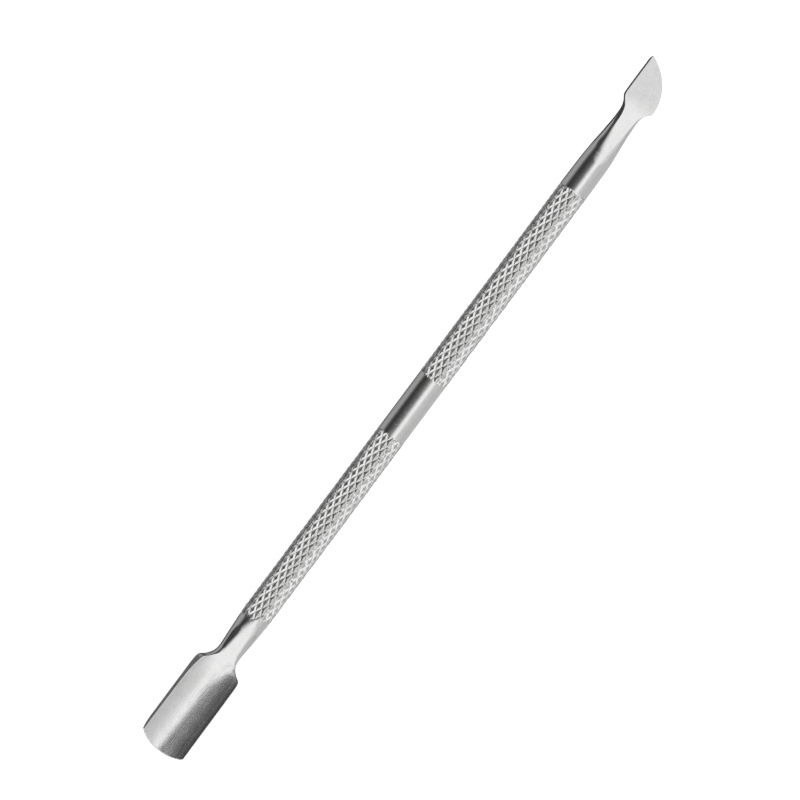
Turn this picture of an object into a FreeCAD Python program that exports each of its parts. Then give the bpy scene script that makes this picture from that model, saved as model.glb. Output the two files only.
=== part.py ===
import FreeCAD, Part

# Double-ended cuticle pusher in stainless steel: a knurled bar with a smooth
# middle band, a trough-shaped pusher brazed into one end and a cuticle knife
# brazed into the other.  Millimetres.
#
# Frame: origin on the bar's axis, half way along the tool (the middle of the
# smooth band).  +X runs along the axis towards the knife tip, +Y towards the
# knife's straight back, +Z out of the hollow side of the pusher.
#
# The pieces:
#   handle            bar with two knurled bands and a blind socket in each end
#   pusher_end        tang, tapered shank, flattened neck and trough
#   blade_end         tang, shank, flattened neck and wedge-ground knife
#   pusher_end_braze  sleeve of silver braze filling the socket gap
#   blade_end_braze   the same at the knife end

import math
import os

import Sketcher
from FreeCAD import Placement, Rotation, Vector

doc = FreeCAD.newDocument("cuticle_pusher")

# ---------------------------------------------------------------- dimensions
# (alias, value, note).  An alias ending in _half is a half width, half height
# or radius measured from the tool's axis, unless its note says otherwise.
DIMENSIONS = [
    # whole tool
    ("overall_length", 130.0, "tip of the trough to tip of the knife"),
    # handle
    ("bar_dia", 4.6, "smooth bar, middle band"),
    ("knurl_dia", 4.73, "over the knurl crests"),
    ("band_half", 5.3, "half length of the smooth middle band"),
    ("band_step", 0.16, "length of the ramp from band to knurl"),
    ("joint_pusher", 40.7, "middle to the pusher joint plane"),
    ("joint_blade", 41.1, "middle to the knife joint plane"),
    ("pusher_joint_dia", 4.5, "handle and pusher shank where they meet"),
    ("handle_foot_len", 1.5, "length of the handle's taper at the pusher joint"),
    ("handle_edge", 0.12, "edge break at the knife end"),
    # brazed socket joints
    ("socket_dia", 2.55, "drilled socket"),
    ("socket_depth", 8.5, "full-diameter depth of the socket"),
    ("socket_cone", 0.766, "length of the 118 degree drill point"),
    ("tang_dia", 2.4, "tang turned on each working end"),
    ("tang_length", 8.0, "tang from shoulder to nose"),
    ("tang_chamfer", 0.25, "lead-in on the tang's nose"),
    # pusher shank: distances run outwards from its joint plane
    ("pusher_neck", 5.8, "narrowest point of the neck"),
    ("pusher_neck_half", 1.83, "half width of the neck"),
    ("shank_end", 7.3, "end of the turned shank, inside the trough root"),
    ("shank_end_half", 1.74, "half width there"),
    ("flat_start", 0.25, "flats start, just clear of the joint plane"),
    ("flat_start_half", 2.17, "half height there"),
    ("flat_neck_half", 1.12, "half height of the flats at the neck"),
    # trough
    ("trough_half", 4.05, "half width of the trough"),
    ("trough_blank", 4.3, "half width of the blank before trimming"),
    ("trough_radius", 7.1, "inside radius of the trough"),
    ("trough_floor", -0.35, "height of the trough floor above the axis"),
    ("trough_wall", 0.5, "sheet thickness"),
    ("trough_tip_radius", 6.9, "end arc seen from above"),
    ("trough_tip_flat", 3.62, "half width where the end arc meets the corner"),
    ("trough_tip_back", 1.026, "sag of the end arc at that width"),
    ("trough_corner", 0.9, "corner radius at the end arc"),
    ("trough_corner_run", 1.79, "corner ends this far from the tip"),
    # outline from neck to trough: reaches run outwards from the neck
    ("fillet_radius", 2.9, "fillet between neck and trough"),
    ("fillet_reach", 2.65, "length of that fillet"),
    ("fillet_end_half", 3.551, "half width where the fillet stops"),
    ("side_corner_radius", 0.5, "corner between fillet and side edge"),
    ("side_corner_reach", 3.3, "length at which the side edge starts"),
    ("side_corner_half", 3.91, "half width there"),
    ("full_width_reach", 4.6, "length at which the full width is reached"),
    # trough loft stations: distance outwards from the joint plane, then
    # height and radius of the top and of the underside
    ("neck_surface_radius", 60.0, "both faces nearly flat at the neck"),
    ("root_station", 7.5, "root of the trough"),
    ("root_top", 0.62, "height of the top there"),
    ("root_top_radius", 16.0, "radius of the top there"),
    ("root_under", -1.04, "height of the underside there"),
    ("root_under_radius", 18.0, "radius of the underside there"),
    ("opening_station", 9.5, "trough opening up"),
    ("opening_top", -0.06, "height of the top there"),
    ("opening_top_radius", 9.0, "radius of the top there"),
    ("opening_under", -0.94, "height of the underside there"),
    ("opening_under_radius", 9.8, "radius of the underside there"),
    ("full_station", 12.1, "trough at full depth"),
    # knife shank: distances run outwards from its joint plane
    ("blade_shank_dia", 4.6, "shank at the joint plane"),
    ("blade_shank_one", 4.4, "first shank station"),
    ("blade_shank_one_half", 2.29, "shank radius there"),
    ("blade_shank_two", 6.9, "second shank station"),
    ("blade_shank_two_half", 2.19, "shank radius there"),
    ("blade_shank_three", 9.4, "third shank station"),
    ("blade_shank_three_half", 1.945, "shank radius there"),
    ("blade_shank_four", 11.9, "fourth shank station"),
    ("blade_shank_four_half", 1.75, "shank radius there"),
    ("blade_neck", 13.9, "narrowest point of the knife's neck"),
    ("blade_neck_half", 1.67, "half width there"),
    ("blade_shank_end", 14.6, "end of the turned shank"),
    ("blade_flat_start", 5.9, "flats start"),
    ("blade_flat_start_half", 2.26, "half height there"),
    ("blade_flat_one", 8.7, "flats change slope"),
    ("blade_flat_one_half", 1.83, "half height there"),
    ("blade_flat_two", 10.6, "flats change slope again"),
    ("blade_flat_two_half", 1.50, "half height there"),
    ("blade_flat_neck_half", 0.95, "half height of the flats at the neck"),
    # knife blank and outline
    ("blade_root", 16.5, "where the wedge-ground blade starts"),
    ("blade_blank", 3.0, "half width of the blade blank"),
    ("blade_back_half", 0.56, "half thickness at the blank's back"),
    ("blade_edge_half", 0.10, "half thickness at the blank's edge"),
    ("blade_back", 2.68, "distance of the straight back from the axis"),
    ("hollow_radius", 1.75, "hollow from the neck into either shoulder"),
    ("shoulder_start", 15.3, "back shoulder, hollow ends"),
    ("shoulder_start_half", 1.86, "distance from the axis there"),
    ("shoulder_end", 16.5, "back shoulder, nose starts"),
    ("shoulder_end_half", 2.52, "distance from the axis there"),
    ("shoulder_nose", 3.86, "nose radius of the back shoulder"),
    ("back_start", 17.6, "straight back starts"),
    ("heel_start", 15.5, "belly shoulder, hollow ends"),
    ("heel_start_half", 1.88, "distance from the axis there"),
    ("heel_end", 16.35, "belly shoulder, nose starts"),
    ("heel_end_half", 2.50, "distance from the axis there"),
    ("heel_nose", 1.59, "nose radius of the belly shoulder"),
    ("belly_start", 17.1, "belly starts"),
    ("belly_start_half", 2.688, "distance from the axis there"),
    ("belly_radius", 7.23, "belly near the heel"),
    ("belly_break", 21.8, "belly changes radius here"),
    ("belly_break_half", 0.62, "distance from the axis there"),
    ("tip_radius", 8.64, "belly near the tip"),
]
sheet = doc.addObject("Spreadsheet::Sheet", "sheet")
for row, (alias, value, note) in enumerate(DIMENSIONS, start=1):
    sheet.set("A%d" % row, alias)
    sheet.set("B%d" % row, repr(value))
    sheet.set("C%d" % row, note)
    sheet.setAlias("B%d" % row, alias)
doc.recompute()

# Allowances that keep cuts and blanks clear of the finished surfaces.
POCKET_LENGTH = 30  # total depth of a cut through the whole tool
TRIM_CLEARANCE = 2  # trim outlines reach this far beyond blank and tip
BLANK_EXCESS = 0.5  # blanks run this far past the tip before trimming
PUSHER_FLAT_OVERRUN = 0.5  # flats run this far past the turned shank
BLADE_FLAT_OVERRUN = 1


class Size:
    """A number together with the sheet expression that yields it."""

    def __init__(self, number, text):
        self.number = float(number)
        self.text = text

    @staticmethod
    def of(other):
        return other if isinstance(other, Size) else Size(other, repr(float(other)))

    def __add__(self, other):
        other = Size.of(other)
        return Size(self.number + other.number, "(%s + %s)" % (self.text, other.text))

    def __sub__(self, other):
        other = Size.of(other)
        return Size(self.number - other.number, "(%s - %s)" % (self.text, other.text))

    def __mul__(self, other):
        other = Size.of(other)
        return Size(self.number * other.number, "(%s * %s)" % (self.text, other.text))

    def __truediv__(self, other):
        other = Size.of(other)
        return Size(self.number / other.number, "(%s / %s)" % (self.text, other.text))

    def __neg__(self):
        return Size(-self.number, "(-1 * %s)" % self.text)

    def root(self):
        return Size(math.sqrt(self.number), "sqrt(%s)" % self.text)


def cell(alias):
    return Size(float(sheet.get(alias)), "sheet." + alias)


# A coordinate of zero, held by putting the vertex on the sketch axis.
ON_AXIS = 0

# Bulge of an arc, seen walking along the loop.
LEFT = 1
RIGHT = -1


# ------------------------------------------------------------------ sketches
def new_body(name):
    body = doc.addObject("PartDesign::Body", name)
    body.Label = name
    return body


def new_sketch(body, name, role, along=None):
    """Sketch on one of the body's own origin planes, moved along its normal."""
    sketch = body.newObject("Sketcher::SketchObject", name)
    plane = [f for f in body.Origin.OriginFeatures if f.Role == role][0]
    sketch.AttachmentSupport = [(plane, "")]
    sketch.MapMode = "FlatFace"
    if along is not None:
        sketch.AttachmentOffset = Placement(Vector(0, 0, along.number), Rotation())
        sketch.setExpression("AttachmentOffset.Base.z", along.text)
    return sketch


def name_constraint(sketch, index, tag, size):
    sketch.renameConstraint(index, tag)
    sketch.setExpression("Constraints." + tag, size.text)


def pin_point(sketch, edge, end, size, kind, tag):
    """Ties one coordinate of a vertex to its sheet expression."""
    if not isinstance(size, Size):
        axis = -2 if kind == "DistanceX" else -1
        sketch.addConstraint(Sketcher.Constraint("PointOnObject", edge, end, axis))
        return
    constraint = Sketcher.Constraint(kind, -1, 1, edge, end, size.number)
    name_constraint(sketch, sketch.addConstraint(constraint), tag, size)


def arc_between(start, finish, radius, bulge):
    """Arc whose middle stands off the chord on its LEFT or RIGHT."""
    chord = finish.sub(start)
    half = chord.Length / 2.0
    left = Vector(-chord.y, chord.x, 0).normalize()
    sag = radius - math.sqrt(max(radius**2 - half**2, 0.0))
    middle = start.add(finish).multiply(0.5).add(left.multiply(bulge * sag))
    return Part.Arc(start, middle, finish)


def draw_loop(sketch, path):
    """One closed loop.  Each entry is (x, y, arc): arc is None for a straight
    edge to the next vertex, or (radius, bulge) for an arc."""
    corners = [Vector(Size.of(x).number, Size.of(y).number, 0) for x, y, _ in path]
    following = corners[1:] + corners[:1]
    ends = []  # (edge, its starting vertex, its finishing vertex)
    for start, finish, (_, _, arc) in zip(corners, following, path):
        if arc is None:
            edge = sketch.addGeometry(Part.LineSegment(start, finish), False)
            ends.append((edge, 1, 2))
            continue
        curve = arc_between(start, finish, arc[0].number, arc[1])
        edge = sketch.addGeometry(curve, False)
        # a sketch stores every arc anticlockwise, so its ends may be swapped
        if sketch.getPoint(edge, 1).distanceToPoint(start) < 1e-5:
            ends.append((edge, 1, 2))
        else:
            ends.append((edge, 2, 1))
    for (edge, _, last), (next_edge, first, _) in zip(ends, ends[1:] + ends[:1]):
        sketch.addConstraint(
            Sketcher.Constraint("Coincident", edge, last, next_edge, first)
        )
    for i, (x, y, arc) in enumerate(path):
        edge, first, _ = ends[i]
        pin_point(sketch, edge, first, x, "DistanceX", "x%d" % i)
        pin_point(sketch, edge, first, y, "DistanceY", "y%d" % i)
        if arc is not None:
            constraint = Sketcher.Constraint("Radius", edge, arc[0].number)
            name_constraint(sketch, sketch.addConstraint(constraint), "r%d" % i, arc[0])
    if sketch.solve() != 0:
        raise RuntimeError("sketch %s doesn't solve" % sketch.Label)
    return sketch


def station(alias, side=1, arc=None):
    """Vertex from a distance in the sheet and the _half that goes with it."""
    return (cell(alias), cell(alias + "_half") * side, arc)


# ------------------------------------------------------------------ features
def add_feature(body, kind, name, profile, **settings):
    """Adds a feature and makes sure that it changes the body: a cut that
    points away from the solid removes nothing and says nothing."""
    before = 0.0 if body.Shape.isNull() else body.Shape.Volume
    feature = body.newObject("PartDesign::" + kind, name)
    feature.Profile = profile
    for setting, value in settings.items():
        if isinstance(value, Size):
            setattr(feature, setting, value.number)
            feature.setExpression(setting, value.text)
        else:
            setattr(feature, setting, value)
    body.Tip = feature
    doc.recompute()
    change = body.Shape.Volume - before
    if kind in ("Groove", "Pocket"):
        change = -change
    if not change > 1e-6:
        raise RuntimeError("%s changed nothing" % name)


def turn(body, kind, name, path, sketch_name):
    """Revolution or Groove about the tool's axis."""
    profile = draw_loop(new_sketch(body, sketch_name, "XZ_Plane"), path)
    axis = (profile, ["H_Axis"])
    add_feature(body, kind, name, profile, ReferenceAxis=axis, Angle=360)


def cut_through(body, name, sketch):
    """Pocket right through the body, both ways from the sketch."""
    add_feature(
        body, "Pocket", name, sketch,
        SideType="Symmetric", Type="Length", Length=POCKET_LENGTH,
    )


def add_loft(body, name, sections, ruled):
    add_feature(
        body, "AdditiveLoft", name, sections[0],
        Sections=sections[1:], Ruled=ruled, Closed=False,
    )


socket_half = cell("socket_dia") / 2
tang_half = cell("tang_dia") / 2
chamfer_start = cell("tang_length") - cell("tang_chamfer")


def tang_path(inwards):
    """Tang from its nose to the joint plane; inwards is the sign of X that
    points into the handle."""
    nose = cell("tang_length") * inwards
    return [
        (nose, ON_AXIS, None),
        (nose, tang_half - cell("tang_chamfer"), None),
        (chamfer_start * inwards, tang_half, None),
        (ON_AXIS, tang_half, None),
    ]


# -------------------------------------------------------------------- handle
def build_handle():
    """One turned bar.  The knurled bands are drawn at their crest diameter;
    the middle band is bare bar.  A blind socket is drilled into each end."""
    body = new_body("handle")
    bar_half = cell("bar_dia") / 2
    knurl_half = cell("knurl_dia") / 2
    band_half = cell("band_half")
    knurl_start = band_half + cell("band_step")
    pusher_face = -cell("joint_pusher")
    blade_face = cell("joint_blade")
    path = [
        (pusher_face, ON_AXIS, None),
        (pusher_face, cell("pusher_joint_dia") / 2, None),
        (pusher_face + cell("handle_foot_len"), knurl_half, None),
        (-knurl_start, knurl_half, None),
        (-band_half, bar_half, None),
        (band_half, bar_half, None),
        (knurl_start, knurl_half, None),
        (blade_face - cell("handle_edge"), knurl_half, None),
        (blade_face, knurl_half - cell("handle_edge") / 2, None),
        (blade_face, ON_AXIS, None),
    ]
    turn(body, "Revolution", "handle_turned", path, "handle_profile")
    for side, face, inwards in (("pusher", pusher_face, 1), ("blade", blade_face, -1)):
        floor = face + cell("socket_depth") * inwards
        path = [
            (face, ON_AXIS, None),
            (face, socket_half, None),
            (floor, socket_half, None),
            (floor + cell("socket_cone") * inwards, ON_AXIS, None),
        ]
        turn(body, "Groove", side + "_socket", path, side + "_socket_profile")


# ---------------------------------------------------------------- pusher end
def trough_section(body, name, distance, top, top_radius, under, under_radius):
    """Curved strip across the tool: inside arc above, outside arc below."""
    width = cell("trough_blank")

    def edge_height(height, radius):
        return height + (radius - (radius * radius - width * width).root())

    under_edge = edge_height(under, under_radius)
    top_edge = edge_height(top, top_radius)
    path = [
        (-width, under_edge, (under_radius, RIGHT)),
        (width, under_edge, None),
        (width, top_edge, (top_radius, LEFT)),
        (-width, top_edge, None),
    ]
    return draw_loop(new_sketch(body, name, "YZ_Plane", -distance), path)


def trough_outline(tip):
    """Waste around the trough seen from above: neck fillets, shoulder corners,
    side edges, rounded end corners and a shallow end arc."""
    neck = cell("pusher_neck")
    # (x, half width, arc to the next point), from the neck outwards; the last
    # arc crosses the tip.  The bulges hold both walking outwards on the -Y
    # side and walking back on the +Y side.
    edge = [
        (-neck, cell("pusher_neck_half"), (cell("fillet_radius"), RIGHT)),
        (
            -(neck + cell("fillet_reach")),
            cell("fillet_end_half"),
            (cell("side_corner_radius"), LEFT),
        ),
        (-(neck + cell("side_corner_reach")), cell("side_corner_half"), None),
        (-(neck + cell("full_width_reach")), cell("trough_half"), None),
        (
            -(tip - cell("trough_corner_run")),
            cell("trough_half"),
            (cell("trough_corner"), LEFT),
        ),
        (
            -(tip - cell("trough_tip_back")),
            cell("trough_tip_flat"),
            (cell("trough_tip_radius"), LEFT),
        ),
    ]
    out = cell("trough_half") + TRIM_CLEARANCE
    far = -(tip + TRIM_CLEARANCE)
    path = [(-neck, out, None), (far, out, None), (far, -out, None), (-neck, -out, None)]
    path += [(x, -half, arc) for x, half, arc in edge]
    # walking back, each point takes the arc of the point it leads to
    return_arcs = [arc for _, _, arc in edge[-2::-1]] + [None]
    path += [(x, half, arc) for (x, half, _), arc in zip(edge[::-1], return_arcs)]
    return path


def build_pusher_end():
    """Turned tang and tapered shank, forged flat at the neck, then spread into
    a trough whose hollow faces +Z.  Local origin on the joint plane; outwards
    is -X."""
    body = new_body("pusher_end")
    neck = cell("pusher_neck")
    shank_end = cell("shank_end")
    path = tang_path(1) + [
        (ON_AXIS, cell("pusher_joint_dia") / 2, None),
        (-neck, cell("pusher_neck_half"), None),
        (-shank_end, cell("shank_end_half"), None),
        (-shank_end, ON_AXIS, None),
    ]
    turn(body, "Revolution", "pusher_shank", path, "pusher_shank_profile")

    # flats above and below, deepening towards the neck and carried on past
    # the end of the shank at the same slope
    start = cell("flat_start")
    start_half = cell("flat_start_half")
    neck_half = cell("flat_neck_half")
    slope = (start_half - neck_half) / (neck - start)
    past = shank_end + PUSHER_FLAT_OVERRUN
    past_half = start_half - slope * (past - start)
    for side, sign in (("upper", 1), ("lower", -1)):
        clear = cell("pusher_joint_dia") * sign
        path = [
            (-start, clear, None),
            (-start, start_half * sign, None),
            (-past, past_half * sign, None),
            (-past, clear, None),
        ]
        flat = new_sketch(body, "pusher_%s_flat_profile" % side, "XZ_Plane")
        cut_through(body, "pusher_%s_flat" % side, draw_loop(flat, path))

    # the trough opens up between the neck and its full depth ...
    floor = cell("trough_floor")
    radius = cell("trough_radius")
    wall = cell("trough_wall")
    neck_radius = cell("neck_surface_radius")
    # distance outwards, top height and radius, underside height and radius
    columns = ("_station", "_top", "_top_radius", "_under", "_under_radius")
    stations = [
        (neck, neck_half, neck_radius, -neck_half, neck_radius),
        [cell("root" + column) for column in columns],
        [cell("opening" + column) for column in columns],
        (cell("full_station"), floor, radius, floor - wall, radius + wall),
    ]
    sections = [
        trough_section(body, "trough_station_" + letter, *values)
        for letter, values in zip("abcd", stations)
    ]
    add_loft(body, "trough_root", sections, ruled=False)

    # ... and from there the section runs straight to the tip
    tip = cell("overall_length") / 2 - cell("joint_pusher")
    profile = trough_section(body, "trough_profile", *stations[-1])
    length = tip - cell("full_station") + BLANK_EXCESS
    add_feature(body, "Pad", "trough_blank", profile, Length=length, Reversed=True)

    outline = new_sketch(body, "trough_outline", "XY_Plane")
    cut_through(body, "trough_trim", draw_loop(outline, trough_outline(tip)))
    body.setExpression("Placement.Base.x", "-sheet.joint_pusher")


# ----------------------------------------------------------------- blade end
def wedge_section(body, name, distance, back_half, edge_half):
    """Four-sided strip across the tool, back on +Y and edge on -Y."""
    width = cell("blade_blank")
    path = [
        (-width, -edge_half, None),
        (width, -back_half, None),
        (width, back_half, None),
        (-width, edge_half, None),
    ]
    return draw_loop(new_sketch(body, name, "YZ_Plane", distance), path)


def blade_outline(tip):
    """Waste around the blade, seen from above."""
    neck = cell("blade_neck")
    out = cell("blade_blank") + TRIM_CLEARANCE
    far = tip + TRIM_CLEARANCE
    hollow = (cell("hollow_radius"), RIGHT)
    return [
        (neck, -out, None),
        (far, -out, None),
        (far, out, None),
        (neck, out, None),
        # back shoulder and straight back
        station("blade_neck", 1, hollow),
        station("shoulder_start"),
        station("shoulder_end", 1, (cell("shoulder_nose"), LEFT)),
        (cell("back_start"), cell("blade_back"), None),
        # tip, then the belly back towards the heel
        (tip, cell("blade_back"), (cell("tip_radius"), LEFT)),
        station("belly_break", -1, (cell("belly_radius"), LEFT)),
        station("belly_start", -1, (cell("heel_nose"), LEFT)),
        station("heel_end", -1),
        station("heel_start", -1, hollow),
        station("blade_neck", -1),
    ]


def build_blade_end():
    """Turned tang and shank, forged flat at the neck, then a wedge-ground
    knife: thick straight back on +Y, convex cutting belly on -Y.  Local origin
    on the joint plane; outwards is +X."""
    body = new_body("blade_end")
    shank_end = cell("blade_shank_end")
    path = tang_path(-1) + [
        (ON_AXIS, cell("blade_shank_dia") / 2, None),
        station("blade_shank_one"),
        station("blade_shank_two"),
        station("blade_shank_three"),
        station("blade_shank_four"),
        station("blade_neck"),
        (shank_end, cell("blade_neck_half"), None),
        (shank_end, ON_AXIS, None),
    ]
    turn(body, "Revolution", "blade_shank", path, "blade_shank_profile")

    neck = cell("blade_neck")
    neck_half = cell("blade_flat_neck_half")
    past = shank_end + BLADE_FLAT_OVERRUN
    for side, sign in (("upper", 1), ("lower", -1)):
        clear = cell("blade_shank_dia") * sign
        path = [
            (cell("blade_flat_start"), clear, None),
            station("blade_flat_start", sign),
            station("blade_flat_one", sign),
            station("blade_flat_two", sign),
            (neck, neck_half * sign, None),
            (past, neck_half * sign, None),
            (past, clear, None),
        ]
        flat = new_sketch(body, "blade_%s_flat_profile" % side, "XZ_Plane")
        cut_through(body, "blade_%s_flat" % side, draw_loop(flat, path))

    # even thickness at the neck, thinning into the wedge that runs to the tip
    root = cell("blade_root")
    wedge = (root, cell("blade_back_half"), cell("blade_edge_half"))
    sections = [
        wedge_section(body, "wedge_at_neck", neck, neck_half, neck_half),
        wedge_section(body, "wedge_at_root", *wedge),
    ]
    add_loft(body, "blade_root_blank", sections, ruled=True)
    tip = cell("overall_length") / 2 - cell("joint_blade")
    profile = wedge_section(body, "wedge_profile", *wedge)
    length = tip - root + BLANK_EXCESS
    add_feature(body, "Pad", "blade_blank", profile, Length=length)

    outline = new_sketch(body, "blade_outline", "XY_Plane")
    cut_through(body, "blade_trim", draw_loop(outline, blade_outline(tip)))
    body.setExpression("Placement.Base.x", "sheet.joint_blade")


# ------------------------------------------------------------- braze sleeves
def build_braze(name, inwards, joint):
    """Silver braze drawn by capillary action into the gap between tang and
    socket, as far as the tang's chamfer."""
    body = new_body(name)
    depth = chamfer_start * inwards
    path = [
        (ON_AXIS, tang_half, None),
        (ON_AXIS, socket_half, None),
        (depth, socket_half, None),
        (depth, tang_half, None),
    ]
    turn(body, "Revolution", name + "_sleeve", path, name + "_profile")
    body.setExpression("Placement.Base.x", joint)


build_handle()
build_pusher_end()
build_blade_end()
build_braze("pusher_end_braze", 1, "-sheet.joint_pusher")
build_braze("blade_end_braze", -1, "sheet.joint_blade")
doc.recompute()

# -------------------------------------------------------------------- output
NODES = ["handle", "pusher_end", "blade_end", "pusher_end_braze", "blade_end_braze"]
for item in doc.Objects:
    bad = [state for state in item.State if state in ("Invalid", "Error")]
    if bad:
        raise RuntimeError("%s is %s" % (item.Label, bad))
os.makedirs("parts", exist_ok=True)
for name in NODES:
    shape = doc.getObjectsByLabel(name)[0].Shape
    if shape.isNull() or not shape.isValid():
        raise RuntimeError("%s has no valid shape" % name)
    if len(shape.Solids) != 1:
        raise RuntimeError("%s has %d solids" % (name, len(shape.Solids)))
    shape.exportStep(os.path.join("parts", name + ".step"))
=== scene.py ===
"""Cuticle pusher: a knurled bar with a trough-shaped pusher at one end and a knife at the other.

+X runs to the knife tip, +Y to the knife's straight back, +Z out of the trough's hollow; the
origin is at the bar's middle.  Shapes are in millimetres and become metres in mesh_object.
"""

import math

import bmesh
import bpy
import numpy as np
from mathutils import Matrix, Vector


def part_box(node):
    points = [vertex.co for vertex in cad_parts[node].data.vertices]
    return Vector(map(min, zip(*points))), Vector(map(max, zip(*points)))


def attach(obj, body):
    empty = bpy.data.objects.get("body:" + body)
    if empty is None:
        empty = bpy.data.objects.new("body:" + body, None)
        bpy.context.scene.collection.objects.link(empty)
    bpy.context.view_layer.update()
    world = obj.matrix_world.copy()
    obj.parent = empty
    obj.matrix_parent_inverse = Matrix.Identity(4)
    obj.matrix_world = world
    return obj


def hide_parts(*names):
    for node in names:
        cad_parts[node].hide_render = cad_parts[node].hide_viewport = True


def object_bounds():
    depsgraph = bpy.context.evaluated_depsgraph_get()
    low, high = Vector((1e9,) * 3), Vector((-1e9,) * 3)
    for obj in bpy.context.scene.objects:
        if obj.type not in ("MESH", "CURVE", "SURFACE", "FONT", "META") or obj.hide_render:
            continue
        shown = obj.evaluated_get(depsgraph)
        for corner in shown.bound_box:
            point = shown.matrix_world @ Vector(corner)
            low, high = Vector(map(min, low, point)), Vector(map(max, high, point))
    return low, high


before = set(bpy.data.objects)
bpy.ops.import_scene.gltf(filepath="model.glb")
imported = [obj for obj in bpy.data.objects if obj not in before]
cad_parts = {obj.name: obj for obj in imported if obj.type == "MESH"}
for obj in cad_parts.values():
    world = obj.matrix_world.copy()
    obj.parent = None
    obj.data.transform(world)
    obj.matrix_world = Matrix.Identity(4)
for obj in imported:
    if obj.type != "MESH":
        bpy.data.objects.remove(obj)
CAD_BOX = [list(map(float, corner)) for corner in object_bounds()]
scene = bpy.context.scene
MM = 0.001

handle_low, handle_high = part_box("handle")
PUSHER_JOINT = -handle_low.x / MM    # joints and tips are distances from the bar's middle
KNIFE_JOINT = handle_high.x / MM
PUSHER_TIP = -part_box("pusher_end")[0].x / MM
KNIFE_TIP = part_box("blade_end")[1].x / MM
CREST = handle_high.z / MM           # knurl crest radius
BAR = 2.30                           # smooth bar radius
BAND = 5.3                           # half length of the smooth band
PUSHER_ROOT, KNIFE_ROOT = 2.250, 2.330                 # radii of the ends at their joints
KNIFE_RIM = 2.315                    # radius of the softened rims at the knife joint
TANG, TANG_LENGTH, TANG_CHAMFER = 1.20, 8.0, 0.25
SOCKET, SOCKET_LENGTH, SOCKET_CONE = 1.275, 8.5, 0.766
ROLL = math.radians(10.0)            # the camera leans this far towards +Y
HALF_STEPS = 104                     # steps in each half of an end's cross-section


# ------------------------------------------------------------------ helpers
def curve(points):
    """Monotone cubic through (station, value) points, as a function."""
    xs, ys = np.array(points, float).T
    width = np.diff(xs)
    grade = np.diff(ys) / width
    slopes = np.zeros(len(xs))
    slopes[0], slopes[-1] = grade[0], grade[-1]
    for i in range(1, len(xs) - 1):
        if grade[i - 1] * grade[i] > 0:
            before, after = 2 * width[i] + width[i - 1], width[i] + 2 * width[i - 1]
            slopes[i] = (before + after) / (before / grade[i - 1] + after / grade[i])

    def value(x):
        x = np.clip(np.asarray(x, float), xs[0], xs[-1])
        i = np.clip(np.searchsorted(xs, x, side="right") - 1, 0, len(xs) - 2)
        t = (x - xs[i]) / width[i]
        return (
            (2 * t**3 - 3 * t**2 + 1) * ys[i]
            + (t**3 - 2 * t**2 + t) * width[i] * slopes[i]
            + (-2 * t**3 + 3 * t**2) * ys[i + 1]
            + (t**3 - t**2) * width[i] * slopes[i + 1]
        )

    return value


def smooth_min(first, second, blend):
    overlap = np.maximum(blend - np.abs(first - second), 0.0)
    return np.minimum(first, second) - overlap ** 2 / (4.0 * blend)


def smooth_max(first, second, blend):
    return -smooth_min(-first, -second, blend)


def smoothstep(low, high, x):
    t = np.clip((np.asarray(x, float) - low) / (high - low), 0.0, 1.0)
    return t * t * (3.0 - 2.0 * t)


def lattice_noise(x, y, seed, period_y=257):
    """Smooth value noise in -1..1, the same every run.  y wraps at its period."""
    table = np.random.default_rng(seed).uniform(-1.0, 1.0, (257, 257))
    column, row = np.floor(x).astype(int), np.floor(y).astype(int)
    x, y = x - column, y - row
    x, y = x * x * (3 - 2 * x), y * y * (3 - 2 * y)

    def mixed(row):
        row = row % period_y
        return table[column % 257, row] * (1 - x) + table[(column + 1) % 257, row] * x

    return mixed(row) * (1 - y) + mixed(row + 1) * y


def mesh_object(name, verts, faces, material, smooth_angle, attributes=None):
    """A mesh from millimetre vertices.  Doubled vertices are welded."""
    mesh = bpy.data.meshes.new(name)
    mesh.from_pydata([tuple(v) for v in (np.asarray(verts) * MM)], [], faces)
    for key, values in (attributes or {}).items():
        attribute = mesh.attributes.new(key, "FLOAT", "POINT")
        attribute.data.foreach_set("value", np.asarray(values, np.float32))
    bm = bmesh.new()
    bm.from_mesh(mesh)
    bmesh.ops.remove_doubles(bm, verts=bm.verts, dist=2e-7)
    bmesh.ops.dissolve_degenerate(bm, edges=bm.edges, dist=1e-8)
    bmesh.ops.recalc_face_normals(bm, faces=bm.faces)
    bm.to_mesh(mesh)
    bm.free()
    mesh.validate()
    mesh.shade_smooth()
    mesh.set_sharp_from_angle(angle=math.radians(smooth_angle))
    mesh.materials.append(material)
    obj = bpy.data.objects.new(name, mesh)
    scene.collection.objects.link(obj)
    return obj


def stitch(rings, end_cap):
    """Quads between equal rings, with a fan over the start and, if wanted, the end."""
    count = len(rings[0])
    faces = []
    for start in range(0, (len(rings) - 1) * count, count):
        after = start + count
        for j in range(count):
            k = (j + 1) % count
            faces.append((start + j, start + k, after + k, after + j))
    centres = [np.mean(rings[0], axis=0)]
    hub = len(rings) * count
    faces += [(hub, (j + 1) % count, j) for j in range(count)]
    if end_cap:
        centres.append(np.mean(rings[-1], axis=0))
        last = hub - count
        faces += [(hub + 1, last + j, last + (j + 1) % count) for j in range(count)]
    return np.concatenate([*rings, centres]), faces


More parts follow.
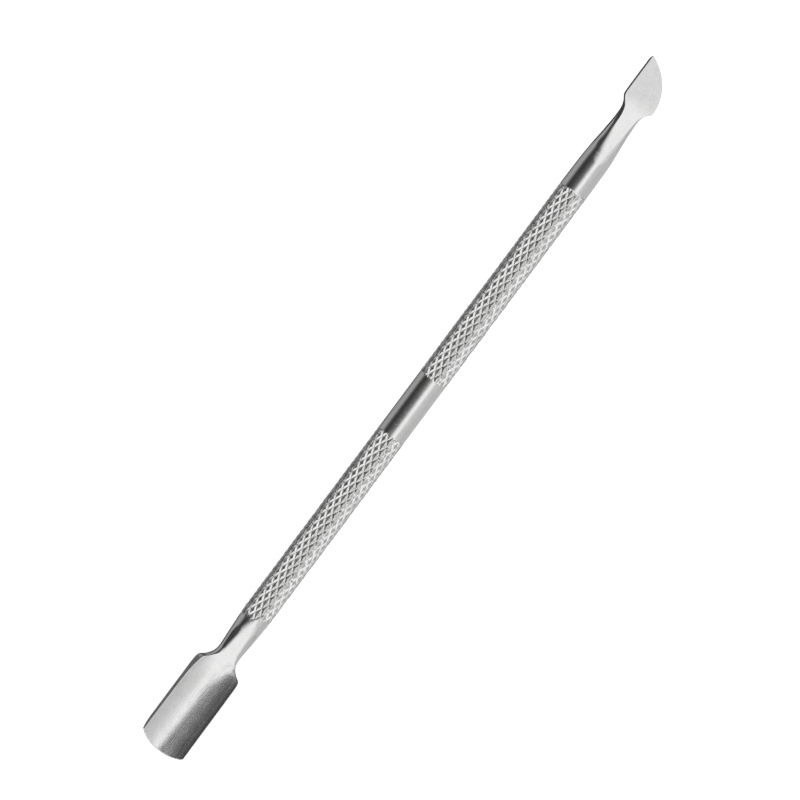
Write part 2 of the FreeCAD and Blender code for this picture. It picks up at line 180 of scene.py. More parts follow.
# ---------------------------------------------------- cross-sections of the ends
def resample(points, turn_weight=0.22):
    """HALF_STEPS even steps in length plus turning, so corners get more points."""
    step = np.diff(points, axis=0)
    keep = np.concatenate([[True], np.hypot(step[:, 0], step[:, 1]) > 1e-6])
    points = points[keep]
    step = np.diff(points, axis=0)
    weight = np.hypot(step[:, 0], step[:, 1])
    turn = np.abs(np.diff(np.unwrap(np.arctan2(step[:, 1], step[:, 0]))))
    weight[:-1] += turn_weight * turn / 2
    weight[1:] += turn_weight * turn / 2
    measure = np.concatenate([[0.0], np.cumsum(weight)])
    wanted = np.linspace(0.0, measure[-1], HALF_STEPS + 1)
    return np.stack([np.interp(wanted, measure, points[:, i]) for i in (0, 1)], axis=1)


def join_halves(upper, lower):
    """One loop from two halves that share their first and last points."""
    return np.concatenate([upper, lower[-2:0:-1]])


def section(
    y_low, y_high, top, bottom, low_edge, high_edge, blend, mid=None, slant=0.0, bevel=None
):
    """Closed loop of 2 * HALF_STEPS (y, z) points.

    top and bottom give the half thickness above and below the mid surface, and mid
    that surface's height and slope.  Each edge is (corner radius, side half height).
    bevel gives the side heights (low, high) where 40 degree chamfers start.  slant
    shifts the sides' upper points to -Y and their lower points to +Y.
    """
    centre, half_width = (y_low + y_high) / 2, (y_high - y_low) / 2
    y = centre + half_width * np.sin(np.linspace(-math.pi / 2, math.pi / 2, 481))

    def rounded(from_side, radius, side_height):
        inside = np.clip(radius - from_side, 0.0, radius)
        return side_height - radius + np.sqrt(np.maximum(radius**2 - inside**2, 0.0))

    limit = np.minimum(rounded(y - y_low, *low_edge), rounded(y_high - y, *high_edge))
    if bevel is not None:
        limit = smooth_min(limit, bevel[0] + 0.85 * (y - y_low), 0.06)
        limit = smooth_min(limit, bevel[1] + 0.85 * (y_high - y), 0.06)
    halves = []
    for sign, thickness in ((1.0, top), (-1.0, bottom)):
        edge_limit = limit
        if bevel is not None and sign < 0:
            # the lower +Y corner has a second, deeper chamfer
            edge_limit = smooth_min(limit, 0.55 * bevel[1] + (y_high - y), 0.1)
        height = np.maximum(smooth_min(thickness(y), edge_limit, blend), 0.0)
        # upright sides carry the outline down to the mid surface
        up = np.linspace(0.0, height[0], 10)[:-1]
        down = np.linspace(height[-1], 0.0, 10)[1:]
        across = np.concatenate([np.full(len(up), y[0]), y, np.full(len(down), y[-1])])
        height = np.concatenate([up, height, down])
        middle, slope = (0.0, 0.0) if mid is None else mid(across)
        norm = np.sqrt(1.0 + slope * slope)
        if slant:
            near = smoothstep(half_width - 0.9, half_width - 0.25, np.abs(across - centre))
            across = across - sign * height * slant * near
        points = [across - sign * height * slope / norm, middle + sign * height / norm]
        halves.append(resample(np.stack(points, axis=1)))
    return join_halves(*halves)


def circle_loop(radius):
    """Round loop with the points of section(), from the same start."""
    angle = np.linspace(math.pi, 0.0, HALF_STEPS + 1)
    cos, sin = np.cos(angle), np.sin(angle)
    return radius * join_halves(np.stack([cos, sin], axis=1), np.stack([cos, -sin], axis=1))


def ring(x, loop):
    return np.column_stack([np.broadcast_to(x, len(loop)), loop])


def tang_rings(sign, joint, shoulder):
    """Nose, chamfer and barrel of the turned tang, then the shoulder face."""
    inner = joint - TANG_LENGTH
    return [ring(sign * x, circle_loop(radius)) for x, radius in (
        (inner, 0.35),
        (inner, TANG - TANG_CHAMFER),
        (inner + TANG_CHAMFER, TANG),
        (inner + 2.5, TANG),
        (inner + 5.0, TANG),
        (joint - 0.25, TANG),
        (joint, TANG),
        (joint, (TANG + shoulder) / 2),
    )]


# ------------------------------------------------------------------- handle
# Diamond knurl rolled at 30 degrees.  The mesh's own lines follow the grooves, so
# every valley is crisp.
STARTS, PITCH = 13, 1.99             # grooves each way, and their spacing along the bar
FINE = 7                             # mesh steps in half a pitch
KNURL_GIRTH = 2 * math.pi * 2.36     # round the bar at the knurl
GROOVE_STEP = KNURL_GIRTH / STARTS
ACROSS = PITCH * GROOVE_STEP / math.hypot(PITCH, GROOVE_STEP)     # square to a groove
GROOVE_HALF, GROOVE_DEPTH = 0.325, 0.24
TOP_DROP = 0.030 + 0.018             # nominal drop of a diamond's top before it is crowned
CROWN = 0.028
SOCKET_FACE = 1.8                    # radius of the ring halfway across each joint face
KNIFE_FOOT = 2.325

# angles round the bar, from the camera's side towards +Y
COLUMNS = 2 * STARTS * FINE
THETA = np.arange(COLUMNS) * (2 * math.pi / COLUMNS)
COS, SIN = np.cos(math.pi / 2 - ROLL - THETA), np.sin(math.pi / 2 - ROLL - THETA)

# (x, radius) of the bare bar and of the crests as they run into the pusher
foot_taper = curve([
    (-PUSHER_JOINT, PUSHER_ROOT), (-40.0, 2.295), (-39.2, 2.325), (-38.4, 2.335), (-38.0, 2.335),
])
crest_taper = curve([
    (-PUSHER_JOINT, 2.262), (-40.0, 2.312), (-39.2, 2.350), (-38.5, CREST), (-38.0, CREST),
])


def knurl_drop(x, phase, seed):
    """Depth below the crest surface, and 0..1 how far down a groove this is."""
    def noise(along, cells, noise_seed):
        return lattice_noise(along, THETA * cells / (2 * math.pi), noise_seed, cells)

    # the -Y side was rolled less cleanly: ridges wander, tops are torn
    side = np.where(THETA > math.pi, 2 * math.pi - THETA, 0.0)
    rough = smoothstep(0.05, 0.55, side) * (1.0 - smoothstep(1.5, 2.2, side))
    distances = []
    for sign, shift, family_seed in ((1, 0, seed), (-1, 40, seed + 1)):
        wander = (0.05 + 0.10 * rough) * noise(x * 0.9 + shift, 26, family_seed)
        groove = (x - phase) / PITCH + sign * (STARTS * THETA / (2 * math.pi))
        distances.append(np.abs(groove - np.round(groove)) * ACROSS + np.abs(wander) * 0.6)
    nearest = np.minimum(*distances)
    depth = GROOVE_DEPTH * (1.0 + 0.10 * noise(x * 0.33 + 7, 13, seed + 2))
    depth = depth * (1.0 - 0.28 * rough)
    # the flanks roll over into the burnished tops
    painted_groove_light = np.clip(1.0 - nearest / GROOVE_HALF, 0.0, 1.0)
    cut = np.where(painted_groove_light > 0.16, painted_groove_light - 0.08, painted_groove_light * painted_groove_light / 0.32)
    # tops are a touch crowned and not all alike
    crown = CROWN * np.clip(nearest / (ACROSS / 2), 0.0, 1.0)
    uneven = (0.018 + 0.012 * rough) * noise(x * 1.3 + 11, 26, seed + 3)
    torn = 0.034 * rough * noise(x * 3.1 + 5, 52, seed + 4)
    return depth * cut + TOP_DROP - crown + uneven + torn, cut


def slanted_fade(x):
    """0..1 where the knurl dies away on a slant at the pusher's foot."""
    ragged = 0.18 * lattice_noise(THETA * 26 / (2 * math.pi), 3.0, 71)
    return smoothstep(-0.35, 0.55, x - (-40.15 - 0.60 * np.sin(THETA) + ragged))


def ragged_fade(edge, sign, seed):
    """0..1 across a square end of the knurl; sign points into the knurl."""
    ragged = 0.10 * lattice_noise(THETA * 39 / (2 * math.pi), 5.0, seed)
    return lambda x: smoothstep(-0.05, 0.26, sign * (x - edge) + ragged)


def handle_ring(x, radius, valley=0.0, worked=0.0, step=None):
    """Points, the two attributes, and the place on the groove grid if knurled."""
    points = np.column_stack([np.full(COLUMNS, x), radius * COS, radius * SIN])
    return points, np.full(COLUMNS, valley), np.full(COLUMNS, worked), step


def knurl_rings(low, high, phase, seed, low_fade, high_fade):
    spacing, margin = PITCH / (2 * FINE), 0.03
    first = math.ceil((low + margin - phase) / spacing)
    last = math.floor((high - margin - phase) / spacing)
    rings = []
    for step in range(first, last + 1):
        x = phase + step * spacing
        drop, cut = knurl_drop(x, phase, seed)
        amount = low_fade(x) * high_fade(x)
        bare = min(foot_taper(x), BAR)
        radius = np.minimum(bare + (CREST - drop - bare) * amount, crest_taper(x))
        rings.append(handle_ring(x, radius, cut * amount, amount, step))
    return rings


def off_groove(steps):
    """How far a place on the groove grid is from the nearest groove, in pitches."""
    return abs(steps / (2 * FINE) - round(steps / (2 * FINE)))


def build_handle(material):
    drill_depth = SOCKET_LENGTH + SOCKET_CONE * 0.7
    outwards = (SOCKET_LENGTH, 5.0, 2.0, 0.0)
    parts = [handle_ring(-PUSHER_JOINT + drill_depth, SOCKET * 0.3)]
    parts += [handle_ring(-PUSHER_JOINT + depth, SOCKET) for depth in outwards]
    parts += [handle_ring(-PUSHER_JOINT, radius) for radius in (SOCKET_FACE, PUSHER_ROOT)]
    parts += knurl_rings(
        -PUSHER_JOINT, -BAND, -0.30, 101, slanted_fade, ragged_fade(-BAND, -1, 31)
    )
    for x in (-BAND, -5.22, -4.6, -3.2, -1.6, 0.0, 1.6, 3.2, 4.6, 5.02, BAND - 0.2):
        parts.append(handle_ring(x, BAR))
    parts += knurl_rings(
        BAND - 0.2, KNIFE_JOINT, -0.27, 202,
        ragged_fade(BAND - 0.15, 1, 32), ragged_fade(KNIFE_JOINT, -1, 33),
    )
    parts.append(handle_ring(KNIFE_JOINT - 0.02, KNIFE_FOOT))
    parts += [handle_ring(KNIFE_JOINT, radius) for radius in (KNIFE_RIM, SOCKET_FACE)]
    parts += [handle_ring(KNIFE_JOINT - depth, SOCKET) for depth in reversed(outwards)]
    parts.append(handle_ring(KNIFE_JOINT - drill_depth, SOCKET * 0.3))
    rings, valley, worked, grid = zip(*parts)

    faces = []
    for i in range(len(rings) - 1):
        start, after = i * COLUMNS, (i + 1) * COLUMNS
        knurled = grid[i] is not None and grid[i + 1] is not None
        for j in range(COLUMNS):
            k = (j + 1) % COLUMNS
            quad = (start + j, after + j, after + k, start + k)
            if not knurled:
                faces.append(quad)
                continue
            # split along whichever family of grooves is nearer
            along, around = grid[i] + 0.5, j + 0.5
            if off_groove(along + around) < off_groove(along - around):
                faces += [(quad[0], quad[1], quad[3]), (quad[1], quad[2], quad[3])]
            else:
                faces += [(quad[0], quad[1], quad[2]), (quad[0], quad[2], quad[3])]
    # the drill points at the bottom of both sockets
    point_depth = SOCKET_LENGTH + SOCKET_CONE
    drill_points = [[-PUSHER_JOINT + point_depth, 0, 0], [KNIFE_JOINT - point_depth, 0, 0]]
    hub = len(rings) * COLUMNS
    last = hub - COLUMNS
    for j in range(COLUMNS):
        k = (j + 1) % COLUMNS
        faces.append((hub, j, k))
        faces.append((hub + 1, last + k, last + j))
    values = {
        "valley": np.concatenate([*valley, np.zeros(2)]),
        "worked": np.concatenate([*worked, np.zeros(2)]),
    }
    verts = np.concatenate([*rings, drill_points])
    return mesh_object("knurled_handle", verts, faces, material, 50, values)


# --------------------------------------------------------------- pusher end
# Tables are (distance from the bar's middle towards -X, value).
pusher_half_width = curve([
    (PUSHER_JOINT, PUSHER_ROOT), (41.0, 2.240), (42.02, 2.185), (42.78, 2.125), (43.54, 2.075),
    (44.31, 2.015), (45.07, 1.955), (45.83, 1.90), (46.35, 1.87), (46.7, 1.875),
    (47.0, 1.91), (47.3, 1.975), (47.6, 2.085), (47.9, 2.245), (48.2, 2.455), (48.5, 2.69),
    (48.8, 2.99), (49.05, 3.32), (49.25, 3.65), (49.45, 3.84), (49.75, 3.95),
    (50.4, 4.01), (51.5, 4.035), (66.0, 4.045),
])
pusher_half_thick = curve([
    (PUSHER_JOINT, 2.30), (41.2, 2.215), (42.0, 2.04), (44.0, 1.68), (46.0, 1.32), (47.1, 1.12),
    (47.55, 1.03), (48.2, 0.82), (49.0, 0.61), (50.0, 0.47), (51.2, 0.38), (53.0, 0.29),
    (56.0, 0.25), (60.0, 0.235), (65.5, 0.20),
])
# height of the mid surface at the trough's bottom
trough_drop = curve([
    (PUSHER_JOINT, 0.0), (46.9, 0.0), (47.6, -0.03), (48.3, -0.14), (49.2, -0.33),
    (50.2, -0.49), (51.5, -0.58), (54.0, -0.60), (60.0, -0.58), (65.5, -0.50),
])
# one over the trough's radius
trough_curl = curve([
    (PUSHER_JOINT, 0.0), (46.9, 0.0), (47.3, 0.030), (47.8, 0.075), (48.3, 0.110),
    (48.8, 0.132), (49.4, 0.145), (50.5, 0.146), (52.0, 0.142), (65.5, 0.139),
])
# the hollow leans a little, more towards the tip, about a line on the -Y side
trough_lean = curve([
    (PUSHER_JOINT, 0.0), (48.8, 0.0), (50.2, 0.045), (52.0, 0.065), (58.0, 0.074),
    (62.0, 0.092), (64.5, 0.104), (66.0, 0.104),
])
lean_pivot = curve([(PUSHER_JOINT, 1.0), (56.0, 0.98), (59.5, 0.86), (62.0, 0.70), (65.0, 0.52)])
# corner radius, side half height and where the chamfers start up the sides
pusher_corner = curve([
    (PUSHER_JOINT, PUSHER_ROOT), (42.0, 2.187), (43.5, 1.80), (45.0, 1.42), (46.0, 1.20),
    (46.8, 1.05), (47.6, 0.82), (48.2, 0.54), (49.0, 0.27), (50.0, 0.13), (51.5, 0.10),
    (66.0, 0.09),
])
pusher_side = curve([
    (PUSHER_JOINT, PUSHER_ROOT), (42.0, 2.187), (43.5, 1.93), (45.0, 1.63), (46.0, 1.46),
    (46.8, 1.31), (47.6, 1.10), (48.2, 0.90), (49.0, 0.65), (50.0, 0.50), (51.5, 0.39),
    (53.0, 0.32), (66.0, 0.27),
])
pusher_bevel = curve([
    (41.0, 1.50), (41.8, 1.12), (42.6, 0.92), (43.5, 0.82), (45.0, 0.76), (46.0, 0.74),
    (47.0, 0.86), (48.4, 0.95), (49.4, 1.2),
])
TOOL_MARK, MARK_AT, MARK_LENGTH, MARK_WIDTH = 0.035, 47.62, 0.09, 1.3    # where the trough begins
FRONT_RADIUS, FRONT_CORNER = 6.9, 0.90                 # end arc and its two corners
FRONT_HALF, FRONT_CENTRE_Y = 4.049, -0.45
FRONT_START, FRONT_GUESS = 52.0, 64.4                  # span over which rings take up the end arc
FRONT_NOSE = 0.12                                      # depth of the rounding at the front edge


def hollow(y, d):
    """Height of the trough's mid surface."""
    curl = np.maximum(trough_curl(d), 1e-4)
    root = np.sqrt(np.maximum(1.0 - (curl * y) ** 2, 0.05))
    return trough_drop(d) + (1.0 - root) / curl - trough_lean(d) * np.tanh((y + lean_pivot(d)) / 0.8)


def trough_faces(d):
    """Mid height with slope, and half thickness, across the section at d."""
    def upper(y):
        # on the -Y side the hollow runs further back into the heel
        at = d + 2.2 * smoothstep(47.0, 49.5, d) * smoothstep(0.2, 2.4, -y)
        return hollow(y, at) + pusher_half_thick(at)

    def lower(y):
        return hollow(y, d) - pusher_half_thick(d)

    def height(y):
        return (upper(y) + lower(y)) / 2

    def mid(y):
        return height(y), (height(y + 0.02) - height(y - 0.02)) / 0.04

    return mid, lambda y: (upper(y) - lower(y)) / 2


def pusher_loop(d):
    half_width = pusher_half_width(d)
    corner, side = min(pusher_corner(d), half_width * 0.9999), pusher_side(d)
    if d <= 42.0:
        corner = side = half_width
    mid, half_thick = None, lambda y: np.full_like(y, pusher_half_thick(d))
    if d > 46.9:
        mid, half_thick = trough_faces(d)
    mark = TOOL_MARK * math.exp(-((d - MARK_AT) / MARK_LENGTH) ** 2)
    bevel = pusher_bevel(d)
    loop = section(
        -half_width, half_width,
        top=lambda y: half_thick(y) - mark * np.exp(-(y / MARK_WIDTH) ** 4),
        bottom=half_thick,
        low_edge=(corner, side),
        high_edge=(corner, side),
        blend=0.30 - 0.24 * smoothstep(45.5, 48.5, d),
        mid=mid,
        slant=0.29 * smoothstep(48.3, 50.0, d),
        bevel=(bevel * 0.96, bevel) if 41.0 < d < 49.4 else None,
    )
    # both sides finish exactly on the outline
    y = loop[:, 0]
    loop[:, 0] = np.where(y < 0, y * (half_width / -y.min()), y * (half_width / y.max()))
    return loop


def front_outline():
    """y, distance from the bar's middle and slope along the front edge."""
    y = np.linspace(-4.2, 4.2, 1681)
    centre = PUSHER_TIP - FRONT_RADIUS
    inner_radius = FRONT_RADIUS - FRONT_CORNER
    reach = centre + np.sqrt(FRONT_RADIUS**2 - (y - FRONT_CENTRE_Y) ** 2)
    for side in (1.0, -1.0):
        corner_y = side * (FRONT_HALF - FRONT_CORNER)
        offset = corner_y - FRONT_CENTRE_Y
        corner_x = centre + math.sqrt(inner_radius**2 - offset**2)
        meet = side * (FRONT_CENTRE_Y + offset * FRONT_RADIUS / inner_radius)
        over = np.clip(side * (y - corner_y), 0.0, FRONT_CORNER * 0.998)
        reach = np.where(side * y > meet, corner_x + np.sqrt(FRONT_CORNER**2 - over**2), reach)
    return y, reach, np.gradient(reach, y)


def thin_front(loop, gap, closed):
    """Thin the plate from its -Z side near the front edge, then round it."""
    out = loop.copy()
    for j in range(1, HALF_STEPS):
        k = len(loop) - j
        middle = (loop[j] + loop[k]) / 2
        half = np.linalg.norm(loop[j] - loop[k]) / 2
        inset = (gap[j] + gap[k]) / 2
        cap = smooth_min(half, 0.115 + 0.30 * inset, 0.12)
        if inset < FRONT_NOSE:
            nose = FRONT_NOSE**2 - (FRONT_NOSE - inset) ** 2
            cap = min(cap, 0.01 + math.sqrt(max(nose, 0.0)) * 1.02)
        if closed:
            cap = 0.0
        if cap >= half:
            continue
        direction = (loop[j] - loop[k]) / (2 * half) if half > 1e-6 else np.array([0.0, 1.0])
        upper = middle + direction * half
        shift = min(half - cap, 0.75 * (half - 0.11)) if half > 0.11 else 0.0
        if inset < FRONT_NOSE:
            centre = upper - direction * max(half - shift, cap) * 0.62
        else:
            centre = upper - direction * (cap + max(half - cap - shift, 0.0) * 0.5)
        out[j] = centre + direction * cap
        out[k] = centre - direction * cap
    return out


def build_pusher(material):
    stations = np.concatenate([
        np.array([PUSHER_JOINT, PUSHER_JOINT + 0.05]),
        np.arange(PUSHER_JOINT + 0.15, 46.2, 0.13),
        np.arange(46.2, 47.4, 0.07),
        np.arange(47.4, 47.9, 0.035),
        np.arange(47.9, 50.2, 0.05),
        np.arange(50.2, FRONT_START, 0.1),
    ])
    rings = tang_rings(-1, PUSHER_JOINT, shoulder=2.2)
    rings += [ring(-d, pusher_loop(d)) for d in stations]

    # from here the rings swing round to meet the end arc and its two corners
    edge_y, edge_reach, edge_slope = front_outline()
    fractions = np.concatenate([
        np.arange(0.0, 0.955, 0.022),
        1.0 - 0.045 * (1 - np.sin(np.linspace(0, math.pi / 2, 17))),
    ])
    for fraction in map(float, fractions):
        loop = pusher_loop(FRONT_START + fraction * (FRONT_GUESS - FRONT_START))
        reach = np.interp(loop[:, 0], edge_y, edge_reach)
        slope = np.interp(loop[:, 0], edge_y, edge_slope)
        d = FRONT_START + fraction * (reach - FRONT_START)
        gap = (reach - d) / np.sqrt(1.0 + slope**2)
        rings.append(ring(-d, thin_front(loop, gap, closed=fraction >= 0.99999)))
    verts, faces = stitch(rings, end_cap=False)
    # the front edge closes like a zip, upper points to lower points
    count = 2 * HALF_STEPS
    last = (len(rings) - 1) * count
    for j in range(HALF_STEPS):
        corners = [j, j + 1, count - j - 1, (count - j) % count]
        faces.append(tuple(last + corner for corner in dict.fromkeys(corners)))
    return mesh_object("pusher_trough_end", verts, faces, material, 40)


# ---------------------------------------------------------------- knife end
# Tables are (x, value).  First the +Y outline, then the -Y outline up to the belly.
knife_high = curve([
    (KNIFE_JOINT, KNIFE_ROOT), (42.2, 2.322), (43.7, 2.305), (45.2, 2.285), (46.7, 2.245),
    (47.5, 2.205), (48.3, 2.16), (49.0, 2.09), (49.8, 2.015), (50.5, 1.945), (51.3, 1.875),
    (52.1, 1.815), (52.8, 1.755), (53.6, 1.725), (54.4, 1.70), (55.1, 1.71), (55.6, 1.735),
    (56.0, 1.79), (56.35, 1.88), (56.65, 1.99), (56.95, 2.13), (57.25, 2.31), (57.5, 2.46),
    (57.75, 2.57), (58.05, 2.635), (58.5, 2.665), (59.2, 2.68), (KNIFE_TIP + 1, 2.69),
])
BELLY_START = 58.1
neck_low = curve([
    (KNIFE_JOINT, -KNIFE_ROOT), (42.2, -2.322), (43.7, -2.305), (45.2, -2.285), (46.7, -2.265),
    (47.5, -2.235), (48.3, -2.18), (49.0, -2.11), (49.8, -2.03), (50.5, -1.95), (51.3, -1.865),
    (52.1, -1.795), (52.8, -1.735), (53.6, -1.695), (54.4, -1.65), (55.1, -1.615), (55.6, -1.63),
    (56.0, -1.675), (56.35, -1.77), (56.65, -1.91), (56.95, -2.12), (57.2, -2.36), (57.4, -2.55),
    (57.6, -2.66), (57.85, -2.72), (BELLY_START, -2.742),
])
knife_half_thick = curve([
    (KNIFE_JOINT, 2.6), (46.2, 2.46), (47.3, 2.27), (48.6, 2.09), (49.8, 1.88), (51.0, 1.66),
    (52.2, 1.43), (53.4, 1.23), (54.6, 1.04), (55.8, 0.85), (57.0, 0.655), (58.2, 0.46),
    (59.4, 0.26), (60.6, 0.06), (66.0, -0.8),
])
# side half height and corner radius, on the +Y side and then on the -Y side
spine_side = curve([
    (KNIFE_JOINT, KNIFE_ROOT), (48.0, 2.175), (49.4, 2.05), (51.0, 1.76), (52.4, 1.51),
    (54.0, 1.24), (55.0, 1.08), (55.9, 1.00), (56.6, 0.94), (57.3, 0.89), (58.0, 0.84),
    (59.0, 0.78), (66.0, 0.76),
])
spine_corner = curve([
    (KNIFE_JOINT, KNIFE_ROOT), (48.0, 2.175), (49.4, 1.82), (51.0, 1.45), (52.4, 1.08),
    (54.0, 0.68), (55.0, 0.46), (55.9, 0.30), (56.6, 0.14), (57.3, 0.10), (66.0, 0.09),
])
belly_side = curve([
    (KNIFE_JOINT, KNIFE_ROOT), (48.0, 2.175), (51.0, 1.84), (53.0, 1.44), (55.0, 1.12),
    (55.9, 1.02), (56.6, 0.95), (57.3, 0.89), (58.0, 0.84), (66.0, 0.76),
])
belly_corner = curve([
    (KNIFE_JOINT, KNIFE_ROOT), (48.0, 2.175), (51.0, 1.70), (53.0, 1.25), (55.0, 0.85),
    (55.9, 0.66), (56.6, 0.45), (57.3, 0.25), (58.0, 0.12), (66.0, 0.06),
])
# where the +Y chamfer starts up the side
knife_bevel = curve([
    (46.6, 1.60), (47.2, 1.25), (48.0, 1.12), (49.4, 1.00), (50.6, 0.97), (52.4, 0.92),
    (54.0, 0.73), (55.1, 0.62), (56.2, 0.58), (57.0, 0.66), (57.6, 0.9),
])
NO_BEVEL = 9.0                       # chamfer height clear of the whole section
GRIND_START = 57.0


def knife_low(x):
    """The -Y outline: the neck, then two arcs that run smoothly into each other."""
    def arc(centre_x, centre_y, radius):
        return centre_y - np.sqrt(np.maximum(radius**2 - (x - centre_x) ** 2, 0.0))

    belly = np.where(x < 62.9, arc(57.85, 4.329, 7.079), arc(56.116, 6.033, 9.51))
    return np.where(x < BELLY_START, neck_low(x), belly)


CUTTING_X = np.linspace(57.7, KNIFE_TIP - 0.01, 500)
CUTTING_Y = knife_low(CUTTING_X)


def knife_loop(x):
    y_high = knife_high(x)
    y_low = min(float(knife_low(x)), y_high - 0.06)

    def plate(y):
        # half thickness: even, then a wedge that thickens towards +Y
        return smooth_max(np.full_like(y, knife_half_thick(x)), 0.49 + 0.0767 * y, 0.16)

    face, mid = plate, None
    if x > GRIND_START:
        # the edge is ground from the -Z side, so the mid surface rises with it
        samples = np.linspace(y_low, y_high, 240)
        gap = np.hypot(CUTTING_X[None, :] - x, CUTTING_Y[None, :] - samples[:, None]).min(1)
        unground = 1 - smoothstep(GRIND_START, 58.4, x)

        def face(y):
            # the back keeps its thickness almost to the point
            steep = 1.30 + 1.50 * smoothstep(1.1, 2.4, y)
            thick = 0.05 + steep * np.interp(y, samples, gap) + unground * 2.4
            return smooth_min(plate(y), thick / 2, 0.01)

        def mid(y):
            return np.maximum(plate(y) - face(y), 0.0), np.zeros_like(y)

    half_width = (y_high - y_low) / 2
    edges = [(belly_corner(x), belly_side(x)), (spine_corner(x), spine_side(x))]
    if x <= 48.0:
        edges = [(half_width, half_width)] * 2
    low_edge, high_edge = [(min(corner, half_width * 0.9999), side) for corner, side in edges]
    softening = smoothstep(45.0, 47.5, x) * (1 - smoothstep(49.0, 54.0, x))
    bevel = (NO_BEVEL, knife_bevel(x)) if 46.6 < x < 57.6 else None
    return section(
        y_low, y_high, face, face, low_edge, high_edge,
        blend=0.05 + 0.30 * softening, mid=mid, bevel=bevel,
    )


def build_knife(material):
    # along the belly the rings keep an even step round the edge
    x = np.linspace(58.4, KNIFE_TIP, 3000)
    arc = np.concatenate([[0], np.cumsum(np.hypot(np.diff(x), np.diff(knife_low(x))))])
    stations = np.concatenate([
        np.array([KNIFE_JOINT + 0.04]),
        np.arange(KNIFE_JOINT + 0.3, 46.4, 0.3),
        np.arange(46.4, 54.8, 0.12),
        np.arange(54.8, 58.4, 0.06),
        np.interp(np.linspace(0, arc[-1], 118), arc, x),
    ])
    rings = tang_rings(1, KNIFE_JOINT, shoulder=2.28)
    rings.append(ring(KNIFE_JOINT, knife_loop(KNIFE_JOINT) * (KNIFE_RIM / KNIFE_ROOT)))
    rings += [ring(station, knife_loop(float(station))) for station in stations]
    verts, faces = stitch(rings, end_cap=True)
    return mesh_object("cuticle_knife_end", verts, faces, material, 32)


# ---------------------------------------------------------------- materials
WIDE, CORE = (0.25, 0.75), (0.3, 0.7)      # input spans that take in most of a noise


class Nodes:
    """Small shorthand for wiring shader nodes."""

    def __init__(self, tree):
        self.tree = tree
        tree.nodes.clear()

    def add(self, kind, inputs=None, **settings):
        node = self.tree.nodes.new(kind)
        for key, value in settings.items():
            setattr(node, key, value)
        for key, value in (inputs or {}).items():
            self.put(node, key, value)
        return node

    def put(self, node, key, value):
        if isinstance(value, bpy.types.NodeSocket):
            self.tree.links.new(value, node.inputs[key])
        else:
            node.inputs[key].default_value = value

    def math(self, operation, first, second=0.0, third=0.0, clamp=False):
        inputs = {0: first, 1: second, 2: third}
        node = self.add("ShaderNodeMath", inputs, operation=operation)
        node.use_clamp = clamp
        return node.outputs[0]

    def times(self, first, second):
        return self.math("MULTIPLY", first, second)

    def plus(self, first, second):
        return self.math("ADD", first, second)

    def vector(self, operation, first, second):
        node = self.add("ShaderNodeVectorMath", {0: first, 1: second}, operation=operation)
        return node.outputs["Value" if operation == "DOT_PRODUCT" else "Vector"]

    def combine(self, x, y, z):
        return self.add("ShaderNodeCombineXYZ", {0: x, 1: y, 2: z}).outputs[0]

    def noise(self, vector, detail, roughness, scale=None):
        """Noise in about 0..1; scale brings the vector to feature units if it isn't yet."""
        if scale is not None:
            vector = self.vector("MULTIPLY", vector, scale)
        inputs = {"Vector": vector, "Scale": 1.0, "Detail": detail, "Roughness": roughness}
        return self.add("ShaderNodeTexNoise", inputs).outputs[0]

    def remap(self, value, span, to):
        inputs = {
            "Value": value, "From Min": span[0], "From Max": span[1], "To Min": to[0], "To Max": to[1]
        }
        return self.add("ShaderNodeMapRange", inputs).outputs[0]

    def ramp(self, value, stops):
        node = self.add("ShaderNodeValToRGB", {0: value})
        elements = node.color_ramp.elements
        while len(elements) < len(stops):
            elements.new(0.5)
        for element, (place, tone) in zip(elements, stops):
            element.position = place
            element.color = (tone, tone, tone, 1.0)
        return node.outputs[0]

    def tint(self, value, warm=0.0):
        """Grey value to a colour, warmer as warm grows."""
        red, blue = self.times(value, 1.0 + warm), self.times(value, 1.0 - warm)
        return self.add("ShaderNodeCombineColor", {0: red, 1: value, 2: blue}).outputs[0]

    def bump(self, shader, height, strength, distance):
        inputs = {"Strength": strength, "Distance": distance, "Height": height}
        self.put(shader, "Normal", self.add("ShaderNodeBump", inputs).outputs[0])


def metal(name):
    """Material, its nodes, the metal shader and object coordinates in millimetres."""
    material = bpy.data.materials.new(name)
    material.use_nodes = True
    net = Nodes(material.node_tree)
    out = net.add("ShaderNodeOutputMaterial")
    shader = net.add("ShaderNodeBsdfPrincipled", {"Metallic": 1.0})
    net.put(out, "Surface", shader.outputs[0])
    place = net.add("ShaderNodeTexCoord").outputs["Object"]
    return material, net, shader, net.vector("MULTIPLY", place, (1000.0, 1000.0, 1000.0))


